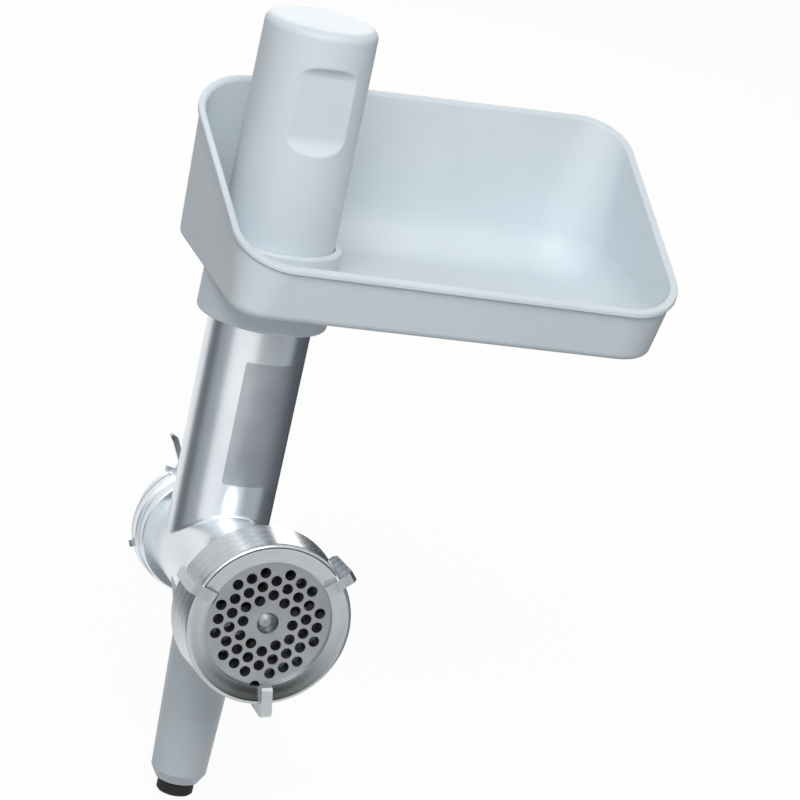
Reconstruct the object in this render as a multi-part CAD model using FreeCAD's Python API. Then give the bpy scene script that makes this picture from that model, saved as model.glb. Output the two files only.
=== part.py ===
import FreeCAD
import Part
import math
import os

# Meat grinder head driven from behind by a kitchen machine.
# Millimetres. The barrel lies along Y with its front towards -Y, +Z is up along the feed tube.
# The origin is on the barrel axis, in the plane where the rear flange meets the machine's hub.

# General fits
RUNNING_FIT = 0.05
SLIDING_FIT = 0.3
SEAT_GAP = 0.1

# Barrel and mouth of the housing
BORE_R = 17.2
BARREL_WALL = 2.8
BARREL_LENGTH = 101.0
FLARE_START = 56.0
FLARE_END = 80.0
MOUTH_WALL = 2.35
CHAMBER_CLEARANCE = 0.9
CASTING_FILLET = 2.0

# Rear flange, spigot and web
FLANGE_R = 25.0
FLANGE_DEPTH = 6.0
STEP_RING_DROP = 1.0
STEP_RING_DEPTH = 12.0
FLANGE_CHAMFER = 0.6
SPIGOT_R = 19.0
SPIGOT_LENGTH = 16.0
SPIGOT_CHAMFER = 1.0
RECESS_R = 15.0
WEB_REAR = 2.0
WEB_FRONT = 9.0

# Bayonet plate and its screws
PLATE_T = 2.0
PLATE_BORE_STEP = 0.5
HOOK_ANGLE = 116.0
HOOK_COUNT = 2
HOOK_REACH = 15.4
HOOK_BAR = 2.2
SPUR_REACH = 5.2
INDEX_TAB_ANGLE = 200.0
INDEX_TAB_WIDTH = 3.0
INDEX_TAB_REACH = 1.6
PLATE_SCREW_R = 1.2
PLATE_SCREW_HEAD_R = 2.3
PLATE_SCREW_LENGTH = 7.0
PLATE_SCREW_COUNT = 3
PLATE_SCREW_TURN = 30.0

# Feed tube
TUBE_Y = -26.3
TUBE_BORE_R = 17.2
TUBE_WALL = 2.1
TUBE_DRAFT_DEG = 0.33
TUBE_TOP_Z = 111.0
TUBE_KEY_WIDTH = 3.0
TUBE_KEY_HEIGHT = 1.5
TUBE_KEY_LENGTH = 12.0

# Leg under the barrel
POST_Y = -40.0
POST_END_Z = -89.0
POST_END_R = 10.75
POST_CHAMFER_R = 2.4
POST_CHAMFER_H = 4.0
POST_NECK_Z = -30.0
POST_NECK_R = 12.95
POST_SADDLE_R = 18.6
POST_CORE_R = 5.4
POST_WEB_T = 4.0
BOSS_R = 7.0
BOSS_DEPTH = 12.0
FOOT_R = 7.1
FOOT_H = 5.5
FOOT_EDGE_R = 0.8
FOOT_PLUG_LENGTH = 9.0
POST_SCREW_R = 2.0
POST_SCREW_HEAD_R = 4.2
POST_SCREW_HEAD_H = 3.5
POST_SCREW_GRIP = 9.0

# Disc and its key
DISC_R = 26.75
DISC_T = 5.0
DISC_PROUD = 1.55
DISC_CLEARANCE = 0.2
DISC_SEAT_GAP = 0.75
HOLE_PITCH = 5.6
HOLE_R = 2.1
HOLE_FIELD_MIN = 1.7
HOLE_FIELD_MAX = 3.7
KEYWAY_R = 2.1
KEYWAY_DEPTH = 3.8
KEY_CLEARANCE = 0.3
KEY_PIN_EMBED = 1.2

# Ring nut
NUT_CLEARANCE = 0.2
NUT_WALL = 3.1
NUT_LENGTH = 18.6
NUT_LIP_T = 2.1
NUT_OPENING_R = 24.6
NUT_TAPER = 0.7
NUT_EDGE_R = 1.5
NUT_DISH = 1.0
LUG_COUNT = 3
LUG_ANGLE = 39.0
LUG_WIDTH = 4.2
LUG_HEIGHT = 4.0
LUG_PROUD = 1.9
LUG_SETBACK = 1.4

# Knife
KNIFE_R = 24.3
KNIFE_T = 8.0
KNIFE_GAP = 0.15
KNIFE_HUB_R = 8.2
KNIFE_BLADE_COUNT = 4
BLADE_ROOT_WIDTH = 6.0
BLADE_TIP_WIDTH = 9.0
BLADE_T = 5.0
BLADE_LAND = 1.0
BLADE_RELIEF = 2.6

# Worm, stud and shaft
WORM_CLEARANCE = 0.4
WORM_CORE_REAR_R = 8.5
WORM_CORE_FRONT_R = 12.5
WORM_PITCH = 23.0
FLIGHT_ROOT_T = 5.0
FLIGHT_TIP_T = 2.6
FLIGHT_ROOT_DEPTH = 1.0
FLIGHT_STEP_COUNT = 24
SHAFT_R = 6.0
DRIVE_SQUARE = 8.0
DRIVE_SQUARE_LENGTH = 5.0
STUD_R = 4.15
STUD_SQUARE = 8.6
STUD_DEPTH = 16.0
STUD_TIP_RECESS = 0.8
STUD_CONE = 1.4
DISC_BORE_CLEARANCE = 0.08

# Bush, seal and washer
BUSH_R = 10.0
BUSH_FLANGE_R = 13.0
BUSH_FLANGE_T = 2.0
SEAL_R = 8.4
SEAL_T = 2.7
WASHER_R = 12.0
WASHER_T = 1.5

# Coupling
COUPLING_R = 12.5
COUPLING_GAP = 0.5
COUPLING_WEB_T = 2.0
COUPLING_LENGTH = 15.5
HEX_SOCKET = 13.0
COUPLING_GROOVE_COUNT = 6
COUPLING_GROOVE_TURN = 30.0
COUPLING_GROOVE_R = 1.4
COUPLING_SCREW_R = 2.0
COUPLING_SCREW_HEAD_R = 3.6
COUPLING_SCREW_HEAD_H = 2.5
COUPLING_SCREW_LENGTH = 16.0

# Tray, measured from the feed tube's axis. Insets go left, right, front, back.
# Corners go front left, front right, back right, back left.
TRAY_LEFT = 29.6
TRAY_RIGHT = 149.0
TRAY_FRONT = 52.2
TRAY_BACK = 52.2
TRAY_FRONT_WALL = 22.8
TRAY_BACK_WALL = 68.2
TRAY_WALL = 1.9
TRAY_RIM_CORNERS = (20.0, 22.0, 18.0, 26.0)
TRAY_RIM_WIDENING = 2.6
TRAY_RIM_SPREAD = 1.9
TRAY_BASE_INSETS = (3.2, 4.5, 6.0, 3.0)
TRAY_BASE_CORNERS = (11.0, 18.0, 16.0, 15.0)
TRAY_BASE_WIDENING = 0.8
TRAY_BASE_SPREAD = 0.0
TRAY_BASE_RISE = 7.0
TRAY_BASE_FILLET = 3.5
TRAY_FLOOR_CORNER_R = 24.0
TRAY_FLOOR_FILLET = 17.0
RIM_BEAD = 0.9
RIM_BEAD_H = 2.2
RIM_ROUND = 0.6
COLLAR_WALL = 4.8
COLLAR_EDGE_R = 1.2
COLLAR_DEPTH = 11.6
COLLAR_SOCKET = 16.0
THROAT_HEIGHT = 19.8
LEDGE_T = 2.0

# Pusher
PUSHER_R = 22.0
PUSHER_TOP_Z = 212.0
PUSHER_DRAFT = 0.4
PUSHER_WALL = 2.3
PUSHER_EDGE_R = 3.6
STEM_END_Z = 26.0
GRIP_DEPTH = 3.5
GRIP_LOW_Z = 164.8
GRIP_HIGH_Z = 198.4
GRIP_LOW_COVE_R = 8.8
GRIP_HIGH_COVE_R = 4.7
GRIP_EDGE_R = 1.2
END_PLATE_T = 2.5
END_PLUG_LENGTH = 6.0

# Places that follow from the sizes above
BARREL_R = BORE_R + BARREL_WALL
STEP_RING_R = FLANGE_R - STEP_RING_DROP
PLATE_BORE_R = SPIGOT_R + PLATE_BORE_STEP
PLATE_SCREW_CIRCLE_R = (PLATE_BORE_R + FLANGE_R) / 2
MOUTH_BORE_R = DISC_R + DISC_CLEARANCE
MOUTH_R = MOUTH_BORE_R + MOUTH_WALL
CHAMBER_R = KNIFE_R + CHAMBER_CLEARANCE
MOUTH_Y = -BARREL_LENGTH
DISC_FRONT_Y = MOUTH_Y - DISC_PROUD
DISC_REAR_Y = DISC_FRONT_Y + DISC_T
MOUTH_SHOULDER_Y = DISC_REAR_Y + DISC_SEAT_GAP
KNIFE_FRONT_Y = DISC_REAR_Y + KNIFE_GAP
WORM_FRONT_Y = KNIFE_FRONT_Y + KNIFE_T
NUT_BORE_R = MOUTH_R + NUT_CLEARANCE
NUT_R = NUT_BORE_R + NUT_WALL
NUT_LIP_Y = DISC_FRONT_Y - SEAT_GAP
NUT_FRONT_Y = NUT_LIP_Y - NUT_LIP_T
NUT_REAR_Y = NUT_FRONT_Y + NUT_LENGTH
BUSH_FRONT_Y = -WEB_FRONT - BUSH_FLANGE_T
WASHER_REAR_Y = BUSH_FRONT_Y - SEAT_GAP
WORM_REAR_Y = WASHER_REAR_Y - WASHER_T
COUPLING_FRONT_Y = -WEB_REAR + COUPLING_GAP
SQUARE_END_Y = COUPLING_FRONT_Y + DRIVE_SQUARE_LENGTH
HEX_FLOOR_Y = SQUARE_END_Y + COUPLING_WEB_T
COUPLING_REAR_Y = COUPLING_FRONT_Y + COUPLING_LENGTH
TUBE_SLOPE = math.tan(math.radians(TUBE_DRAFT_DEG))
TUBE_FOOT_R = TUBE_BORE_R + TUBE_WALL
TUBE_TOP_R = TUBE_FOOT_R + TUBE_SLOPE * TUBE_TOP_Z
SOCKET_R = TUBE_TOP_R + SLIDING_FIT
COLLAR_R = SOCKET_R + COLLAR_WALL
LEDGE_Z = TUBE_TOP_Z + SEAT_GAP
COLLAR_LOW_Z = TUBE_TOP_Z - COLLAR_SOCKET
TRAY_BASE_Z = COLLAR_LOW_Z + COLLAR_DEPTH
THROAT_TOP_Z = TRAY_BASE_Z + THROAT_HEIGHT
HANDLE_LOW_Z = LEDGE_Z + LEDGE_T + SLIDING_FIT
STEM_R = TUBE_BORE_R - SLIDING_FIT
BOSS_END_Z = -BARREL_R - BOSS_DEPTH
POST_WEB_Z = BOSS_END_Z - POST_WEB_T
FOOT_Z = POST_END_Z - FOOT_H
BARREL_AXIS = FreeCAD.Vector(0, 1, 0)
OVERCUT = 1.0


def point(x, y, z):
    return FreeCAD.Vector(x, y, z)


def outline(start, steps):
    # Closed wire from a start point. A step is an end point, or a pair of a point on an arc and its end.
    edges = []
    here = start
    for step in steps:
        if isinstance(step, tuple):
            edges.append(Part.Arc(here, step[0], step[1]).toShape())
            here = step[1]
        else:
            edges.append(Part.makeLine(here, step))
            here = step
    if here.distanceToPoint(start) > 1e-6:
        edges.append(Part.makeLine(here, start))
    return Part.Wire(edges)


def turned(profile):
    # Body of revolution about the barrel axis, from (radius, y) corners and arcs.
    def place(corner):
        return point(corner[0], corner[1], 0)
    return spun(profile, place, point(0, 0, 0), BARREL_AXIS)


def upright(profile, axis_y):
    # Body of revolution about a vertical axis at (0, axis_y), from (radius, z) corners and arcs.
    def place(corner):
        return point(corner[0], axis_y, corner[1])
    return spun(profile, place, point(0, axis_y, 0), point(0, 0, 1))


def spun(profile, place, base, axis):
    start = place(profile[0])
    steps = []
    for corner in profile[1:]:
        if len(corner) == 4:
            steps.append((place(corner[:2]), place(corner[2:])))
        else:
            steps.append(place(corner))
    return Part.Face(outline(start, steps)).revolve(base, axis, 360)


def rod(radius, y_from, y_to, x=0.0, z=0.0):
    # Cylinder along Y between two y values.
    low = min(y_from, y_to)
    return Part.makeCylinder(radius, abs(y_to - y_from), point(x, low, z), BARREL_AXIS)


def column(radius, z_from, z_to, axis_y):
    # Cylinder along Z between two z values.
    low = min(z_from, z_to)
    return Part.makeCylinder(radius, abs(z_to - z_from), point(0, axis_y, low), point(0, 0, 1))


def block(x_range, y_range, z_range):
    corner = point(x_range[0], y_range[0], z_range[0])
    return Part.makeBox(x_range[1] - x_range[0], y_range[1] - y_range[0], z_range[1] - z_range[0], corner)


def about_barrel(shape, degrees):
    # Copy turned about the barrel axis. Positive turns X towards Z.
    copy = shape.copy()
    copy.rotate(point(0, 0, 0), BARREL_AXIS, -degrees)
    return copy


def polygon_bar(corners, y_from, y_to):
    # Prism along Y from (x, z) corners.
    points = [point(x, y_from, z) for x, z in corners]
    face = Part.Face(Part.makePolygon(points + [points[0]]))
    return face.extrude(point(0, y_to - y_from, 0))


def square_bar(side, y_from, y_to):
    half = side / 2
    return polygon_bar([(-half, -half), (half, -half), (half, half), (-half, half)], y_from, y_to)


def circle_angles(count):
    return [360.0 * index / count for index in range(count)]


def on_circle(radius, degrees):
    angle = math.radians(degrees)
    return radius * math.cos(angle), radius * math.sin(angle)


def flare_radius():
    # Radius of the arc that leaves the barrel tangentially and reaches the mouth.
    run = FLARE_END - FLARE_START
    rise = MOUTH_R - BARREL_R
    return (run * run + rise * rise) / (2 * rise)


def flare_middle():
    # Point half way along the flare's arc.
    radius = flare_radius()
    half_turn = math.asin((FLARE_END - FLARE_START) / radius) / 2
    return BARREL_R + radius * (1 - math.cos(half_turn)), -FLARE_START - radius * math.sin(half_turn)


def bore_radius(y):
    # Radius of the barrel bore, which opens into the knife chamber at the front.
    cone_rear = -FLARE_START - (FLARE_END - FLARE_START) / 3
    cone_front = -FLARE_END
    if y > cone_rear:
        return BORE_R
    if y < cone_front:
        return CHAMBER_R
    return BORE_R + (CHAMBER_R - BORE_R) * (cone_rear - y) / (cone_rear - cone_front)


def barrel_outside():
    middle_r, middle_y = flare_middle()
    return turned([
        (0, MOUTH_Y),
        (MOUTH_R - FLANGE_CHAMFER, MOUTH_Y),
        (MOUTH_R, MOUTH_Y + FLANGE_CHAMFER),
        (MOUTH_R, -FLARE_END),
        (middle_r, middle_y, BARREL_R, -FLARE_START),
        (BARREL_R, -STEP_RING_DEPTH),
        (STEP_RING_R - FLANGE_CHAMFER, -STEP_RING_DEPTH),
        (STEP_RING_R, -STEP_RING_DEPTH + FLANGE_CHAMFER),
        (STEP_RING_R, -FLANGE_DEPTH),
        (FLANGE_R - FLANGE_CHAMFER, -FLANGE_DEPTH),
        (FLANGE_R, -FLANGE_DEPTH + FLANGE_CHAMFER),
        (FLANGE_R, -PLATE_T),
        (PLATE_BORE_R, -PLATE_T),
        (PLATE_BORE_R, 0),
        (SPIGOT_R, 0),
        (SPIGOT_R, SPIGOT_LENGTH - SPIGOT_CHAMFER),
        (SPIGOT_R - SPIGOT_CHAMFER, SPIGOT_LENGTH),
        (0, SPIGOT_LENGTH),
    ])


def barrel_inside():
    cone_rear = -FLARE_START - (FLARE_END - FLARE_START) / 3
    return turned([
        (0, MOUTH_Y - OVERCUT),
        (MOUTH_BORE_R, MOUTH_Y - OVERCUT),
        (MOUTH_BORE_R, MOUTH_SHOULDER_Y),
        (CHAMBER_R, MOUTH_SHOULDER_Y),
        (CHAMBER_R, -FLARE_END),
        (BORE_R, cone_rear),
        (BORE_R, -WEB_FRONT),
        (BUSH_R, -WEB_FRONT),
        (BUSH_R, -WEB_REAR),
        (RECESS_R, -WEB_REAR),
        (RECESS_R, SPIGOT_LENGTH + OVERCUT),
        (0, SPIGOT_LENGTH + OVERCUT),
    ])


def tube_outside():
    return Part.makeCone(TUBE_FOOT_R, TUBE_TOP_R, TUBE_TOP_Z, point(0, TUBE_Y, 0), point(0, 0, 1))


def tube_on_barrel():
    # Feed tube standing on a plain length of barrel, with a casting fillet round its foot.
    body = rod(BARREL_R, -FLARE_START, -PLATE_T).fuse(tube_outside()).removeSplitter().Solids[0]
    foot = []
    for edge in body.Edges:
        box = edge.BoundBox
        if box.ZMin > OVERCUT and box.ZMax < BARREL_R + OVERCUT:
            foot.append(edge)
    return body.makeFillet(CASTING_FILLET, foot)


def tube_key(clearance, low_z):
    # Rib at the back of the tube's top that keeps the tray from swinging round, or the notch it slides in.
    half = TUBE_KEY_WIDTH / 2 + clearance
    reach = TUBE_Y + TUBE_TOP_R + TUBE_KEY_HEIGHT + clearance
    inner = TUBE_Y + TUBE_TOP_R - TUBE_WALL / 2
    return block((-half, half), (inner, reach), (low_z, TUBE_TOP_Z))


def plate_screw_places():
    angles = [angle + PLATE_SCREW_TURN for angle in circle_angles(PLATE_SCREW_COUNT)]
    return [on_circle(PLATE_SCREW_CIRCLE_R, angle) for angle in angles]


def key_pin():
    # Pin let into the wall of the mouth, at the bottom.
    radius = KEYWAY_R - KEY_CLEARANCE
    centre = MOUTH_BORE_R + KEY_PIN_EMBED - radius
    return rod(radius, MOUTH_Y, MOUTH_SHOULDER_Y + KEY_PIN_EMBED, z=-centre)


def make_housing():
    boss = column(BOSS_R, BOSS_END_Z, -BORE_R - BARREL_WALL / 2, POST_Y)
    key = tube_key(0.0, TUBE_TOP_Z - TUBE_KEY_LENGTH)
    body = barrel_outside().fuse([tube_on_barrel(), boss, key])
    feed = column(TUBE_BORE_R, 0, TUBE_TOP_Z + OVERCUT, TUBE_Y)
    boss_hole = column(POST_SCREW_R, BOSS_END_Z, BOSS_END_Z + POST_SCREW_GRIP, POST_Y)
    cuts = [barrel_inside(), feed, boss_hole, key_pin()]
    for x, z in plate_screw_places():
        cuts.append(rod(PLATE_SCREW_R, -PLATE_SCREW_LENGTH, 0, x, z))
    return body.cut(cuts).removeSplitter()


def hook_corners():
    # Outline of one bayonet hook: a straight bar with a bent tip and a short spur beside it.
    root = FLANGE_R - HOOK_BAR
    tip = FLANGE_R + HOOK_REACH
    spur = FLANGE_R + SPUR_REACH * 0.7
    bar = HOOK_BAR
    return [
        (root, -bar * 1.3),
        (tip - bar, -bar * 1.3),
        (tip, -bar * 0.6),
        (tip - bar * 0.4, -bar * 0.1),
        (tip - bar * 1.5, -bar * 0.3),
        (FLANGE_R + bar * 1.3, -bar * 0.3),
        (FLANGE_R + bar * 0.5, bar * 0.4),
        (spur, SPUR_REACH - bar * 0.5),
        (spur - bar, SPUR_REACH),
        (root, bar * 0.8),
    ]


def make_bayonet_plate():
    plate = rod(FLANGE_R, -PLATE_T, 0)
    hook = polygon_bar(hook_corners(), -PLATE_T, 0)
    half_tab = INDEX_TAB_WIDTH / 2
    tab_ends = (FLANGE_R - INDEX_TAB_REACH, FLANGE_R + INDEX_TAB_REACH)
    tab = block(tab_ends, (-PLATE_T, 0), (-half_tab, half_tab))
    extras = [about_barrel(hook, HOOK_ANGLE + angle) for angle in circle_angles(HOOK_COUNT)]
    extras.append(about_barrel(tab, INDEX_TAB_ANGLE))
    cuts = [rod(PLATE_BORE_R, -PLATE_T, 0)]
    cuts.extend(screw_solid(x, z) for x, z in plate_screw_places())
    return plate.fuse(extras).cut(cuts).removeSplitter()


def screw_solid(x, z):
    # Countersunk screw, flush with the plate.
    head_h = PLATE_SCREW_HEAD_R - PLATE_SCREW_R
    head = Part.makeCone(PLATE_SCREW_R, PLATE_SCREW_HEAD_R, head_h, point(x, -head_h, z), BARREL_AXIS)
    return head.fuse(rod(PLATE_SCREW_R, -PLATE_SCREW_LENGTH, -head_h, x, z))


def make_bayonet_screws():
    return Part.makeCompound([screw_solid(x, z) for x, z in plate_screw_places()])


def make_rear_bush():
    return turned([
        (SHAFT_R + RUNNING_FIT, BUSH_FRONT_Y),
        (BUSH_FLANGE_R, BUSH_FRONT_Y),
        (BUSH_FLANGE_R, -WEB_FRONT),
        (BUSH_R, -WEB_FRONT),
        (BUSH_R, -WEB_REAR),
        (SEAL_R, -WEB_REAR),
        (SEAL_R, -WEB_REAR - SEAL_T),
        (SHAFT_R + RUNNING_FIT, -WEB_REAR - SEAL_T),
    ])


def make_shaft_seal():
    lip_r = SHAFT_R + RUNNING_FIT
    lip_land = SEAL_T / 3
    return turned([
        (lip_r, -WEB_REAR - SEAL_T),
        (SEAL_R, -WEB_REAR - SEAL_T),
        (SEAL_R, -WEB_REAR),
        (lip_r + lip_land, -WEB_REAR),
        (lip_r, -WEB_REAR - SEAL_T + lip_land),
    ])


def make_support_post():
    end_r = POST_END_R
    foot_r = POST_END_R - POST_CHAMFER_R
    saddle_z = -math.sqrt(max(BARREL_R ** 2 - POST_SADDLE_R ** 2, 1.0))
    flare_z = (POST_NECK_Z + saddle_z) / 2
    flare_r = POST_NECK_R + (POST_SADDLE_R - POST_NECK_R) * 0.42
    post = upright([
        (0, POST_END_Z),
        (foot_r, POST_END_Z),
        (end_r, POST_END_Z + POST_CHAMFER_H),
        (POST_NECK_R, POST_NECK_Z),
        (flare_r, flare_z, POST_SADDLE_R, saddle_z),
        (0, saddle_z),
    ], POST_Y)
    barrel = rod(BARREL_R, POST_Y - 3 * POST_SADDLE_R, POST_Y + 3 * POST_SADDLE_R)
    socket = column(BOSS_R, BOSS_END_Z, 0, POST_Y)
    core = column(POST_CORE_R, POST_END_Z, POST_WEB_Z, POST_Y)
    hole = column(POST_SCREW_R, POST_WEB_Z, BOSS_END_Z, POST_Y)
    return post.cut([barrel, socket, core, hole])


def make_post_screw():
    head_z = POST_WEB_Z - POST_SCREW_HEAD_H
    return upright([
        (0, head_z),
        (POST_SCREW_HEAD_R - FOOT_EDGE_R, head_z),
        (POST_SCREW_HEAD_R, head_z + FOOT_EDGE_R),
        (POST_SCREW_HEAD_R, POST_WEB_Z),
        (POST_SCREW_R, POST_WEB_Z),
        (POST_SCREW_R, BOSS_END_Z + POST_SCREW_GRIP),
        (0, BOSS_END_Z + POST_SCREW_GRIP),
    ], POST_Y)


def make_post_foot():
    return upright([
        (0, FOOT_Z),
        (FOOT_R - FOOT_EDGE_R, FOOT_Z),
        (FOOT_R, FOOT_Z + FOOT_EDGE_R),
        (FOOT_R, POST_END_Z),
        (POST_CORE_R, POST_END_Z),
        (POST_CORE_R, POST_END_Z + FOOT_PLUG_LENGTH),
        (0, POST_END_Z + FOOT_PLUG_LENGTH),
    ], POST_Y)


def hole_places():
    # Hexagonal grid about the centre, with one row of neighbours standing upright.
    places = []
    reach = int(HOLE_FIELD_MAX) + 2
    for i in range(-reach, reach + 1):
        for j in range(-reach, reach + 1):
            x = HOLE_PITCH * i * math.sqrt(3) / 2
            z = HOLE_PITCH * (j + i / 2)
            distance = math.hypot(x, z) / HOLE_PITCH
            if HOLE_FIELD_MIN < distance < HOLE_FIELD_MAX:
                places.append((x, z))
    return places


def make_perforated_disc():
    face = Part.Face(Part.Wire(Part.makeCircle(DISC_R, point(0, DISC_FRONT_Y, 0), BARREL_AXIS)))
    bore_r = STUD_R + DISC_BORE_CLEARANCE
    cutters = [Part.Face(Part.Wire(Part.makeCircle(bore_r, point(0, DISC_FRONT_Y, 0), BARREL_AXIS)))]
    for x, z in hole_places():
        circle = Part.makeCircle(HOLE_R, point(x, DISC_FRONT_Y, z), BARREL_AXIS)
        cutters.append(Part.Face(Part.Wire(circle)))
    disc = face.cut(cutters).Faces[0].extrude(point(0, DISC_T, 0))
    keyway_z = -DISC_R + KEYWAY_DEPTH - KEYWAY_R
    slot = block((-KEYWAY_R, KEYWAY_R), (DISC_FRONT_Y, DISC_REAR_Y), (-DISC_R - OVERCUT, keyway_z))
    return disc.cut([slot, rod(KEYWAY_R, DISC_FRONT_Y, DISC_REAR_Y, z=keyway_z)])


def make_ring_nut():
    front_r = NUT_R - NUT_TAPER
    bend = NUT_EDGE_R * (1 - math.sqrt(0.5))
    ring = turned([
        (NUT_BORE_R, NUT_REAR_Y),
        (NUT_BORE_R, NUT_LIP_Y),
        (NUT_OPENING_R, NUT_LIP_Y),
        (NUT_OPENING_R, NUT_FRONT_Y + NUT_DISH),
        (front_r - NUT_EDGE_R, NUT_FRONT_Y),
        (front_r - bend, NUT_FRONT_Y + bend, front_r, NUT_FRONT_Y + NUT_EDGE_R),
        (NUT_R, NUT_REAR_Y),
    ])
    lug = make_lug()
    lugs = [about_barrel(lug, LUG_ANGLE + angle) for angle in circle_angles(LUG_COUNT)]
    return ring.fuse(lugs).removeSplitter()


def make_lug():
    # Bar along the nut's side that folds over the front face to the opening.
    outer = NUT_R + LUG_HEIGHT
    front = NUT_FRONT_Y - LUG_PROUD
    rear = NUT_REAR_Y - LUG_SETBACK
    inside = NUT_BORE_R + NUT_WALL / 2
    corner = LUG_HEIGHT * 0.35
    half = LUG_WIDTH / 2
    profile = outline(point(NUT_OPENING_R, front + LUG_PROUD / 2, -half), [
        point(NUT_OPENING_R + LUG_PROUD / 2, front, -half),
        point(outer - corner, front, -half),
        point(outer, front + corner, -half),
        point(outer - NUT_TAPER, rear - corner, -half),
        point(outer - NUT_TAPER - corner, rear, -half),
        point(inside, rear, -half),
        point(inside, NUT_FRONT_Y + NUT_LIP_T * 0.7, -half),
        point(NUT_OPENING_R, NUT_FRONT_Y + NUT_LIP_T * 0.7, -half),
    ])
    return Part.Face(profile).extrude(point(0, 0, LUG_WIDTH))


def flight_section(turn_angle, y, root_r, tip_r):
    # Cross-section of the worm's flight in a plane through the barrel axis.
    corners = [
        (root_r, y - FLIGHT_ROOT_T / 2),
        (tip_r, y - FLIGHT_TIP_T / 2),
        (tip_r, y + FLIGHT_TIP_T / 2),
        (root_r, y + FLIGHT_ROOT_T / 2),
    ]
    points = []
    for radius, along in corners:
        x, z = on_circle(radius, turn_angle)
        points.append(point(x, along, z))
    return Part.makePolygon(points + [points[0]])


def make_worm():
    rear = WORM_REAR_Y - FLIGHT_ROOT_T / 2
    front = WORM_FRONT_Y + FLIGHT_ROOT_T / 2
    turns = (rear - front) / WORM_PITCH
    steps = int(round(turns * FLIGHT_STEP_COUNT))
    root_r = WORM_CORE_REAR_R - FLIGHT_ROOT_DEPTH
    sections = []
    for step in range(steps + 1):
        share = step / steps
        y = rear + (front - rear) * share
        tip_r = bore_radius(y + FLIGHT_TIP_T / 2) - WORM_CLEARANCE
        sections.append(flight_section(360 * turns * share, y, root_r, tip_r))
    flight = Part.makeLoft(sections, True, True)
    core = turned([
        (0, WORM_FRONT_Y),
        (WORM_CORE_FRONT_R, WORM_FRONT_Y),
        (WORM_CORE_REAR_R, WORM_REAR_Y),
        (SHAFT_R, WORM_REAR_Y),
        (SHAFT_R, COUPLING_FRONT_Y),
        (0, COUPLING_FRONT_Y),
    ])
    square = square_bar(DRIVE_SQUARE, COUPLING_FRONT_Y - OVERCUT, SQUARE_END_Y)
    stud_hole = rod(STUD_R, WORM_FRONT_Y, WORM_FRONT_Y + STUD_DEPTH)
    screw_hole = rod(COUPLING_SCREW_R, HEX_FLOOR_Y - COUPLING_SCREW_LENGTH, SQUARE_END_Y)
    return core.fuse([flight, square]).cut([stud_hole, screw_hole])


def make_worm_stud():
    tip = DISC_FRONT_Y + STUD_TIP_RECESS
    body = turned([
        (0, tip),
        (STUD_R - STUD_CONE * 2, tip),
        (STUD_R, tip + STUD_CONE),
        (STUD_R, WORM_FRONT_Y + STUD_DEPTH),
        (0, WORM_FRONT_Y + STUD_DEPTH),
    ])
    return body.fuse(square_bar(STUD_SQUARE, KNIFE_FRONT_Y, WORM_FRONT_Y))


def make_blade():
    # One blade along +X with its edge in the front plane and a relieved back.
    root = BLADE_ROOT_WIDTH / 2
    tip = BLADE_TIP_WIDTH / 2
    inner = KNIFE_HUB_R / 2
    blade = polygon_bar([(inner, -root), (KNIFE_R, -tip), (KNIFE_R, root), (inner, root)],
                        KNIFE_FRONT_Y, KNIFE_FRONT_Y + BLADE_T)
    relief = Part.Face(Part.makePolygon([
        point(inner, KNIFE_FRONT_Y + BLADE_LAND, root),
        point(inner, KNIFE_FRONT_Y + BLADE_T, root),
        point(inner, KNIFE_FRONT_Y + BLADE_T, root - BLADE_RELIEF),
        point(inner, KNIFE_FRONT_Y + BLADE_LAND, root),
    ])).extrude(point(KNIFE_R, 0, 0))
    return blade.cut(relief).common(rod(KNIFE_R, KNIFE_FRONT_Y, WORM_FRONT_Y))


def make_knife():
    hub = rod(KNIFE_HUB_R, KNIFE_FRONT_Y, WORM_FRONT_Y)
    blade = make_blade()
    blades = [about_barrel(blade, angle) for angle in circle_angles(KNIFE_BLADE_COUNT)]
    return hub.fuse(blades).cut(square_bar(STUD_SQUARE, KNIFE_FRONT_Y, WORM_FRONT_Y)).removeSplitter()


def make_thrust_washer():
    return turned([
        (SHAFT_R, WORM_REAR_Y),
        (WASHER_R, WORM_REAR_Y),
        (WASHER_R, WASHER_REAR_Y),
        (SHAFT_R, WASHER_REAR_Y),
    ])


def make_drive_coupling():
    body = turned([
        (0, COUPLING_FRONT_Y),
        (COUPLING_R, COUPLING_FRONT_Y),
        (COUPLING_R, COUPLING_REAR_Y - COUPLING_GROOVE_R),
        (COUPLING_R - COUPLING_GROOVE_R, COUPLING_REAR_Y),
        (0, COUPLING_REAR_Y),
    ])
    hexagon = [on_circle(HEX_SOCKET / math.sqrt(3), angle) for angle in circle_angles(6)]
    cuts = [
        square_bar(DRIVE_SQUARE, COUPLING_FRONT_Y, SQUARE_END_Y),
        rod(COUPLING_SCREW_R, SQUARE_END_Y, HEX_FLOOR_Y),
        polygon_bar(hexagon, HEX_FLOOR_Y, COUPLING_REAR_Y),
    ]
    for angle in circle_angles(COUPLING_GROOVE_COUNT):
        x, z = on_circle(COUPLING_R, angle + COUPLING_GROOVE_TURN)
        cuts.append(rod(COUPLING_GROOVE_R, COUPLING_FRONT_Y, COUPLING_REAR_Y, x, z))
    return body.cut(cuts)


def make_coupling_screw():
    head = rod(COUPLING_SCREW_HEAD_R, HEX_FLOOR_Y, HEX_FLOOR_Y + COUPLING_SCREW_HEAD_H)
    return head.fuse(rod(COUPLING_SCREW_R, HEX_FLOOR_Y - COUPLING_SCREW_LENGTH, HEX_FLOOR_Y))


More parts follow.
